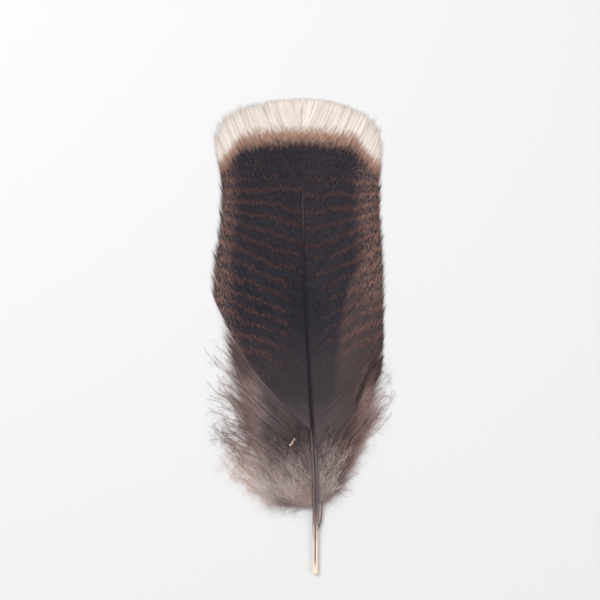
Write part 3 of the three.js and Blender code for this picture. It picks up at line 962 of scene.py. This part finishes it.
def down_threads(side, fan, count, seed, depth, over, shortest, loose, fewest=1.7):
    """The middle lines of some down barbs of one side, spread through a fan of rows."""
    rng = np.random.default_rng(seed)
    share = (np.arange(count) + rng.uniform(0, 1, count)) / count * (len(fan) - 1)
    rows = np.arange(len(fan))
    root_y = np.interp(share, rows, [row[0] for row in fan])
    middle = interpolated(share, rows, [row[1] for row in fan])
    end = interpolated(share, rows, [row[2] for row in fan])
    start = np.stack([shaft_x(root_y) + side * shaft_radius(root_y) * 0.85, root_y], axis=1)
    middle += rng.normal(0, 1.3 * loose, (count, 2))
    end += rng.normal(0, 2.0 * loose, (count, 2))
    least = np.interp(share, [0, rows[-1] / 2], shortest)[:, None]
    fewer_long = np.interp(share, [rows[-1] / 3, rows[-1]], [1.2, fewest])[:, None]
    reach = least + (1.0 - least) * rng.uniform(0, 1, (count, 1)) ** fewer_long
    t = np.linspace(0, 1, DOWN_STEPS)[None, :] * reach
    plan = bowed(start[:, None], (2 * middle - (start + end) / 2)[:, None], end[:, None], t[..., None])
    way = unit(end - start)
    sideways = np.stack([-way[:, 1], way[:, 0]], axis=1)[:, None]
    for swing, turns in SWINGS:
        wave = np.sin(2 * math.pi * (turns * t + rng.uniform(size=(count, 1))))
        size = rng.uniform(0.3, 1, (count, 1)) * swing * loose
        plan += sideways * (wave * size * ease(0, 0.6, t))[..., None]
    plan += sideways * (rng.normal(0, 2.8 * loose, (count, 1)) * t**3)[..., None]
    plan[..., 0] = drawn_in(plan[..., 0])
    deep = rng.uniform(*depth, (count, 1))
    on_shaft = 1 - ease(0, 0.25, t)
    z = sheet_z(plan[..., 0], plan[..., 1]) * (on_shaft + (1 - on_shaft) * deep)
    z += over * ease(0, 0.3, t) * rng.uniform(0.4, 1, (count, 1))
    z += loose * rng.uniform(0, 0.9, (count, 1)) * ease(0.5, 1, t)
    z -= 0.5 * on_shaft * rng.uniform(0, 1, (count, 1))
    return np.concatenate([plan, z[..., None]], axis=-1)


def stray_hairs(lines, count, seed, length, inner, scatter, upright=0.0, wavy=0.6):
    """Long single hairs that leave the threads, from the share inner outwards, and curl away."""
    rng = np.random.default_rng(seed)
    owner = rng.integers(0, len(lines), count)
    at = rng.integers(max(int(DOWN_STEPS * inner), 1), DOWN_STEPS - 1, count)
    start = lines[owner, at]
    way = start - lines[owner, at - 1]
    heading = np.arctan2(way[:, 1], way[:, 0]) % (2 * math.pi)
    heading += (math.pi / 2 - heading) * upright + rng.normal(0, scatter, count)
    curl = rng.choice([-1, 1], count) * rng.uniform(0.04, 0.3, count) * scatter / 0.75
    long = (length * rng.uniform(0.5, 1.3, count))[:, None]
    steps = np.linspace(0, 1, HAIR_STEPS)
    ripple = wavy * np.sin(2 * math.pi * (steps * long / RIPPLE_LENGTH + rng.uniform(size=(count, 1))))
    headings = heading[:, None] + curl[:, None] * long * steps**1.5 + ripple
    pace = long / (HAIR_STEPS - 1)
    x = drawn_in(start[:, 0:1] + np.cumsum(np.cos(headings) * pace, axis=1))
    y = start[:, 1:2] + np.cumsum(np.sin(headings) * pace, axis=1)
    droop = start[:, 2:3] * 0.5 * (inner > 0.3)
    z = start[:, 2:3] + (rng.uniform(0.1, 1.2, (count, 1)) - droop) * steps
    return np.stack([x, y, z], axis=-1)


def three_sided(lines, radii, flat=1.0):
    """Thin three-sided threads along lines, as points, and as faces with end caps. Flat ones are blades."""
    count, steps = lines.shape[:2]
    way = unit(np.gradient(lines, axis=1))
    across = unit(np.cross(way, [0, 0, 1.0]))
    up = np.cross(across, way)
    rings = []
    for i in range(3):
        angle = math.pi / 2 + 2 * math.pi * i / 3
        rings.append(lines + radii[..., None] * (across * math.cos(angle) + up * math.sin(angle) * flat))
    number = np.arange(count * steps * 3).reshape(count, steps, 3)
    faces = []
    for i, j in ((0, 1), (1, 2), (2, 0)):
        rails = number[:, :-1, i], number[:, :-1, j], number[:, 1:, j], number[:, 1:, i]
        faces.append(np.stack(rails, axis=-1).reshape(-1, 4))
    return np.stack(rings, axis=2), faces + [number[:, 0, ::-1], number[:, -1, :]]


def barbules_on(lines, rng, every, length):
    """The roots, ways, bends and lengths of the barbules along threads, and the threads' numbers."""
    barbules = []
    for i, line in enumerate(lines):
        far = length_along(line)
        at = np.arange(far[-1] * 0.06, far[-1] * 0.99, every) + rng.uniform(0, every)
        at = np.minimum(at, far[-1] * 0.995)
        root, ahead, behind = (interpolated(at + step, far, line) for step in (0, 0.5, -0.5))
        way = unit(ahead - behind)
        out = unit(np.cross(way, [0, 0, 1.0]))
        up = np.cross(out, way)
        share = at / far[-1]
        size = ease(0, 0.12, share) * (1 - 0.85 * ease(0.45, 0.95, share))
        for hand in (-1, 1):
            lean = np.radians(rng.uniform(*BARBULE_LEAN, len(at)))[:, None]
            roll = np.radians(rng.normal(0, BARBULE_ROLL, len(at)))[:, None]
            spread = hand * out * np.cos(roll) + up * np.sin(roll)
            lengths = length * rng.uniform(0.5, 1.2, len(at)) * (0.25 + 0.75 * size)
            ways = way * np.cos(lean) + spread * np.sin(lean)
            barbules.append((root, ways, way, lengths, np.full(len(at), i)))
    return [np.concatenate(block) for block in zip(*barbules)]


def barbule_hairs(roots, ways, bends, lengths, thick):
    """A pointed three-sided hair for each barbule, which leans towards its barb's end."""
    across = unit(np.cross(ways, [0.1, 0.2, 1.0]))
    up = np.cross(across, ways)
    points = []
    for i in range(3):
        angle = 2 * math.pi * i / 3
        points.append(roots + thick * (across * math.cos(angle) + up * math.sin(angle)))
    points.append(roots + (ways * 0.86 + bends * 0.34) * lengths[:, None])
    first = np.arange(len(roots))[:, None] * 4
    faces = [first + np.array([corners]) for corners in ((0, 1, 3), (1, 2, 3), (2, 0, 3), (2, 1, 0))]
    return np.stack(points, axis=1), faces


def thread_corners(count, steps, low_v, high_v):
    """The places of threads in their map: a column for each, with its end caps below and above."""
    v = np.linspace(low_v, high_v, steps)
    corners = []
    for i in range(3):
        left = (np.arange(count)[:, None] + 0.05 + 0.3 * i) / count
        right = left + 0.28 / count
        place = placed((left, v[:-1]), (right, v[:-1]), (right, v[1:]), (left, v[1:]))
        corners.append(place.reshape(-1, 4, 2))
    left = (np.arange(count) + 0.1) / count
    middle, right = left + 0.25 / count, left + 0.5 / count
    for v_end in (low_v - 0.006, high_v + 0.002):
        corners.append(placed((left, v_end), (right, v_end), (middle, v_end + 0.003)))
    return corners


def hair_corners(count):
    """The places of barbules in their map: a cell for each, with its base below its three sides."""
    cells_across = int(math.ceil(math.sqrt(count / 0.72)))
    cell = 1 / cells_across
    cell_u = (np.arange(count) % cells_across) * cell
    cell_v = (np.arange(count) // cells_across) * cell
    corners = []
    for i in range(3):
        left = cell_u + cell * (0.05 + 0.3 * i)
        middle, right = left + cell * 0.13, left + cell * 0.26
        low, high = cell_v + cell * 0.15, cell_v + cell * 0.95
        corners.append(placed((left, low), (right, low), (middle, high)))
    left, middle, right = (cell_u + cell * share for share in (0.1, 0.3, 0.5))
    low, high = cell_v + cell * 0.02, cell_v + cell * 0.1
    return corners + [placed((left, low), (right, low), (middle, high))]


def down_piece(name, lines, loose_lines, seed, paleness):
    """Down as one mesh: the barbs as threads, and the barbules that stand on them."""
    rng = np.random.default_rng(seed)
    lines = lines.copy()
    lines[..., 2] = np.maximum(lines[..., 2], 0.15)
    count, steps = lines.shape[:2]
    barbules = barbules_on(lines, rng, BARBULE_EVERY, BARBULE_LENGTH)
    if loose_lines is not None:
        more = barbules_on(loose_lines, rng, LOOSE_BARBULE_EVERY, LOOSE_BARBULE_LENGTH)
        more[4] = rng.integers(0, count, len(more[4]))
        barbules = [np.concatenate(pair) for pair in zip(barbules, more)]
    roots, ways, bends, lengths, owners = barbules
    radii = np.linspace(*THREAD_RADII, steps)[None, :] * np.ones((count, 1))
    threads, faces = three_sided(lines, radii)
    hairs, hair_faces = barbule_hairs(roots, ways, bends, lengths, BARBULE_THICK)
    points = np.concatenate([threads.reshape(-1, 3), hairs.reshape(-1, 3)])
    points[:, 2] = np.maximum(points[:, 2], 0.02)
    faces += [block + count * steps * 3 for block in hair_faces]
    piece = mesh_of(name, points, faces, thread_corners(count, steps, 0.74, 0.99) + hair_corners(len(roots)))
    seeds = rng.uniform(size=count)
    hair_seed = np.clip(seeds[owners] + rng.normal(0, 0.12, len(roots)), 0, 1)
    numbers_on(piece, "seed", np.concatenate([np.repeat(seeds, steps * 3), np.repeat(hair_seed, 4)]))
    thread_pale = paleness(lines) + rng.uniform(-0.3, 0.3, (count, 1))
    hair_pale = paleness(roots)
    pale = np.concatenate([np.repeat(thread_pale.ravel(), 3), np.repeat(hair_pale, 4)])
    numbers_on(piece, "pale", pale)
    return piece


def thread_piece(name, lines, radii, flat, pale, seed, unlike=0.8):
    """Threads or blades without barbules, as one mesh. Their shades are unlike by the last number."""
    lines = lines.copy()
    lines[..., 2] = np.maximum(lines[..., 2], 0.15)
    count, steps = lines.shape[:2]
    points, faces = three_sided(lines, radii, flat)
    points[..., 2] = np.maximum(points[..., 2], LOWEST)
    piece = mesh_of(name, points.reshape(-1, 3), faces, thread_corners(count, steps, 0.02, 0.98))
    seeds = 0.5 + unlike * np.random.default_rng(seed).uniform(-0.5, 0.5, count)
    numbers_on(piece, "seed", np.repeat(seeds, steps * 3))
    numbers_on(piece, "pale", np.repeat(pale.ravel(), 3))
    return piece


def bed_piece(name, side, fan, seed):
    """The half-closed feet of the down barbs: flat blades that lap, and are gone before the rim."""
    lines = down_threads(side, fan, BED_BARBS, seed, **BED_LIE)
    t = np.linspace(0, 1, DOWN_STEPS)
    place = np.linspace(0, len(fan) - 1, BED_BARBS)
    narrow_from, narrow_to = interpolated(place, range(len(fan)), [row[3:] for row in fan]).T[..., None]
    radii = BED_BLADE_RADIUS * (0.5 + 1.5 * ease(0, 0.5, t)) * (1 - 0.96 * ease(narrow_from, narrow_to, t))
    return thread_piece(name, lines, radii, BED_FLATNESS, bed_paleness(lines), seed, unlike=0.14)


def hair_piece(name, hairs, radius, own_pale, seed, paleness):
    """Single hairs, which taper to a point."""
    radii = radius * np.linspace(1, HAIR_TAPER, HAIR_STEPS)[None, :] * np.ones((len(hairs), 1))
    unlike = np.random.default_rng(seed).uniform(own_pale - 0.5, own_pale + 0.5, (len(hairs), 1))
    return thread_piece(name, hairs, radii, 1.0, paleness(hairs) + unlike, seed)


fluff, tree, shader = new_finish("down", 0.75)
patchy = about_zero(mottle(object_places(), 120, 2), 0.6)
unlike = about_zero(read("seed"), 0.5)
pale = plus(plus(read("pale"), patchy), unlike)
colour = DOWN_COLOURS["deep"]
for look, step in DOWN_LOOKS.items():
    colour = mixed(between(pale, *step), colour, DOWN_COLOURS[look])
parts = tree.nodes.new("ShaderNodeSeparateXYZ")
plug(parts.inputs[0], object_places())
outside = between(maths("ABSOLUTE", parts.outputs["X"]), *WARM_OUTSIDE)
colour = mixed(outside, colour, DOWN_COLOURS["warmth"], "MULTIPLY")
plug(shader.inputs["Base Color"], colour)
shader.inputs["Specular IOR Level"].default_value = 0.2


def lie_of(places):
    """How near places are to the foot of the down, from 0 to 1, how far from the shaft, and their y."""
    x, y = places[..., 0], places[..., 1]
    return 1 - ease(*DOWN_FOOT, y), np.abs(x - shaft_x(y)), y


# Down is as dark as the vanes at its top, and paler by the quill and out at the ends.
def right_paleness(places):
    low, away, y = lie_of(places)
    return -0.5 + 0.95 * low + 0.9 * ease(10, 25, away) * (1 - 0.7 * ease(-30, -10, y))


def left_paleness(places):
    low, away, y = lie_of(places)
    return -0.5 + 0.95 * low + (0.65 + 0.5 * low) * ease(14 - 2 * low, 31 - 4 * low, away)


def bed_paleness(places):
    low, away, y = lie_of(places)
    return -0.64 + 0.9 * low + 0.64 * ease(13, 30, away) * (1 - ease(-30, -8, y))


def strand_paleness(places):
    x, y = places[..., 0], places[..., 1]
    on_right = x > shaft_x(y)
    return -0.85 + 2.25 * (1 - ease(*STRANDS_FOOT, y - 3 * on_right)) + 0.17 * on_right


def loose_ends(side, low, high, count, from_share):
    """The outer ends of the lowest closed barbs, which are downy too."""
    w, t = np.linspace(low, high, count)[:, None], np.linspace(from_share, 0.985, DOWN_STEPS)
    return barb_place(side, *np.broadcast_arrays(w, t))


right_lines = down_threads(RIGHT, RIGHT_FAN, RIGHT_BARBS, 7, fewest=1.1, **FAN_LIE)
left_lines = down_threads(LEFT, LEFT_FAN, LEFT_BARBS, 8, fewest=3.2, **FAN_LIE)
right_cover = down_threads(RIGHT, RIGHT_COVER, RIGHT_COVER_BARBS, 9, **COVER_LIE)
left_cover = down_threads(LEFT, LEFT_COVER, LEFT_COVER_BARBS, 10, **COVER_LIE)
right_loose = loose_ends(RIGHT, low=0.0, high=0.14, count=40, from_share=0.5)
left_loose = loose_ends(LEFT, low=0.055, high=0.16, count=30, from_share=0.6)
right_curls = stray_hairs(right_lines, 700, 3, length=7, inner=0.45, scatter=0.9)
left_curls = stray_hairs(left_lines, 1300, 4, length=8, inner=0.35, scatter=0.95)
left_haze = stray_hairs(left_lines[LEFT_HAZE_THREADS], 1300, 21, length=8, inner=0.4, scatter=1.3)
right_haze = stray_hairs(right_lines[RIGHT_HAZE_THREADS], 300, 22, length=6, inner=0.55, scatter=1.2)
right_strands = stray_hairs(right_cover, 680, 5, upright=0.45, **STRANDS)
left_strands = stray_hairs(left_cover, 920, 6, upright=0.6, **STRANDS)
down = [
    down_piece("right_down", right_lines, right_loose, 5, right_paleness),
    down_piece("left_down", left_lines, left_loose, 6, left_paleness),
    down_piece("right_top_down", right_cover, None, 12, right_paleness),
    down_piece("left_top_down", left_cover, None, 13, left_paleness),
    hair_piece("right_curls", right_curls, *CURL_LOOK, 16, right_paleness),
    hair_piece("left_curls", left_curls, *CURL_LOOK, 17, left_paleness),
    hair_piece("left_haze", left_haze, *HAZE_LOOK, 23, left_paleness),
    hair_piece("right_haze", right_haze, *HAZE_LOOK, 24, right_paleness),
    hair_piece("right_strands", right_strands, *STRAND_LOOK, 18, strand_paleness),
    hair_piece("left_strands", left_strands, *STRAND_LOOK, 19, strand_paleness),
    bed_piece("right_down_bed", RIGHT, RIGHT_BED, 14),
    bed_piece("left_down_bed", LEFT, LEFT_BED, 15),
]
for piece in down:
    piece.data.materials.append(fluff)
    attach(piece, "root")


# ---- The painted shadow along the right vane's edge ----
# Dark threads which stand in for the shadow where the right vane's lowest barbs lap over the down: painted
# shade. They lie on the down's foot along the vane's edge, and look darker than the barbs beside them.
EDGE_SHADOW_LINE = [(26.0, -36), (26.8, -28.5), (30.2, -19.5), (34.0, -12), (37.6, -5)]
EDGE_SHADOW_ACROSS = np.array([0.9, -0.43])
EDGE_SHADOW_THREADS = 11
EDGE_SHADOW_RADIUS = 0.11
EDGE_SHADOW_HALF_WIDTH = 0.55
EDGE_SHADOW_SWAY = 0.15
EDGE_SHADOW_RISE_OVER_SHEET = (0.5, 1.1)
# Paleness low enough that these threads take the down's darkest colours, as painted shade.
EDGE_SHADOW_PALENESS = (-1.5, -0.6)

shadow_middle, lock_share = line_through(EDGE_SHADOW_LINE)
shadow_rng = np.random.default_rng(31)
shadow_lines = []
for i in range(EDGE_SHADOW_THREADS):
    first, last = shadow_rng.uniform(0, 0.25), shadow_rng.uniform(0.75, 1)
    at = np.linspace(first, last, DOWN_STEPS)
    line = interpolated(at, lock_share, shadow_middle)
    width = EDGE_SHADOW_HALF_WIDTH * np.sin(math.pi * at) ** 0.6
    aside = shadow_rng.uniform(-1, 1) * width + EDGE_SHADOW_SWAY * np.sin(6 * at + 6 * i)
    line += aside[:, None] * EDGE_SHADOW_ACROSS
    height = sheet_z(line[:, 0], line[:, 1]) + shadow_rng.uniform(*EDGE_SHADOW_RISE_OVER_SHEET)
    shadow_lines.append(np.column_stack([line, height]))
swell = np.sin(math.pi * np.linspace(0.04, 0.97, DOWN_STEPS))
shadow_radii = EDGE_SHADOW_RADIUS * swell[None, :] * np.ones((EDGE_SHADOW_THREADS, 1))
shadow_pale = shadow_rng.uniform(*EDGE_SHADOW_PALENESS, (EDGE_SHADOW_THREADS, 1)) * np.ones((1, DOWN_STEPS))
# These dark threads are painted shadow along the vane's edge, not barbs of the feather.
lock = thread_piece("right_edge_shadow", np.array(shadow_lines), shadow_radii, 1.0, shadow_pale, 32)
lock.data.materials.append(fluff)
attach(lock, "root")


# ---- The fleck of husk ----
# A crumb of dry skin, cream and peach, that has caught in the down left of the quill. It is two small bent
# flakes.
FLAKES = [
    {"at": (-2.15, -46.9), "half": (1.5, 0.46, 0.2), "turn": 54},
    {"at": (-3.05, -48.4), "half": (1.05, 0.56, 0.18), "turn": 32},
]
FLAKE_TILT = (0.2, -0.15)
HUSK_RISE = 0.95  # above the lie of the down
HUSK_CRUMPLE = 0.22
HUSK_PEACH = (0.42, 0.24, 0.165, 1)
HUSK_CREAM = (0.70, 0.52, 0.38, 1)
HUSK_STEP = (0.4, 0.6)

flakes = []
for flake in FLAKES:
    x, y = flake["at"]
    bpy.ops.mesh.primitive_ico_sphere_add(
        subdivisions=3,
        radius=MM,
        location=(x * MM, y * MM, float(sheet_z(x, y) + HUSK_RISE) * MM),
        rotation=(*FLAKE_TILT, math.radians(flake["turn"])),
    )
    bpy.ops.transform.resize(value=flake["half"], orient_type="LOCAL")
    flakes.append(bpy.context.object)
bpy.ops.object.select_all(action="DESELECT")
for flake in flakes:
    flake.select_set(True)
bpy.context.view_layer.objects.active = flakes[0]
bpy.ops.object.join()
husk = bpy.context.object
husk.name = "husk_fleck"
husk.data.name = "husk_fleck"
bpy.ops.object.transform_apply(location=True, rotation=True, scale=True)
places = points_of(husk)
places += HUSK_CRUMPLE * np.sin(places[:, [1, 2, 0]] * 4.1) * np.sin(places[:, [2, 0, 1]] * 3.3 + 1)
husk.data.vertices.foreach_set("co", (places * MM).ravel())
bpy.ops.object.shade_smooth()
dry_skin, tree, shader = new_finish("dry_skin", 0.6)
blotches = mottle(object_places(), 1100, 3)
colour = mixed(between(blotches, *HUSK_STEP), HUSK_PEACH, HUSK_CREAM)
plug(shader.inputs["Base Color"], colour)
husk.data.materials.append(dry_skin)
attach(husk, "root")
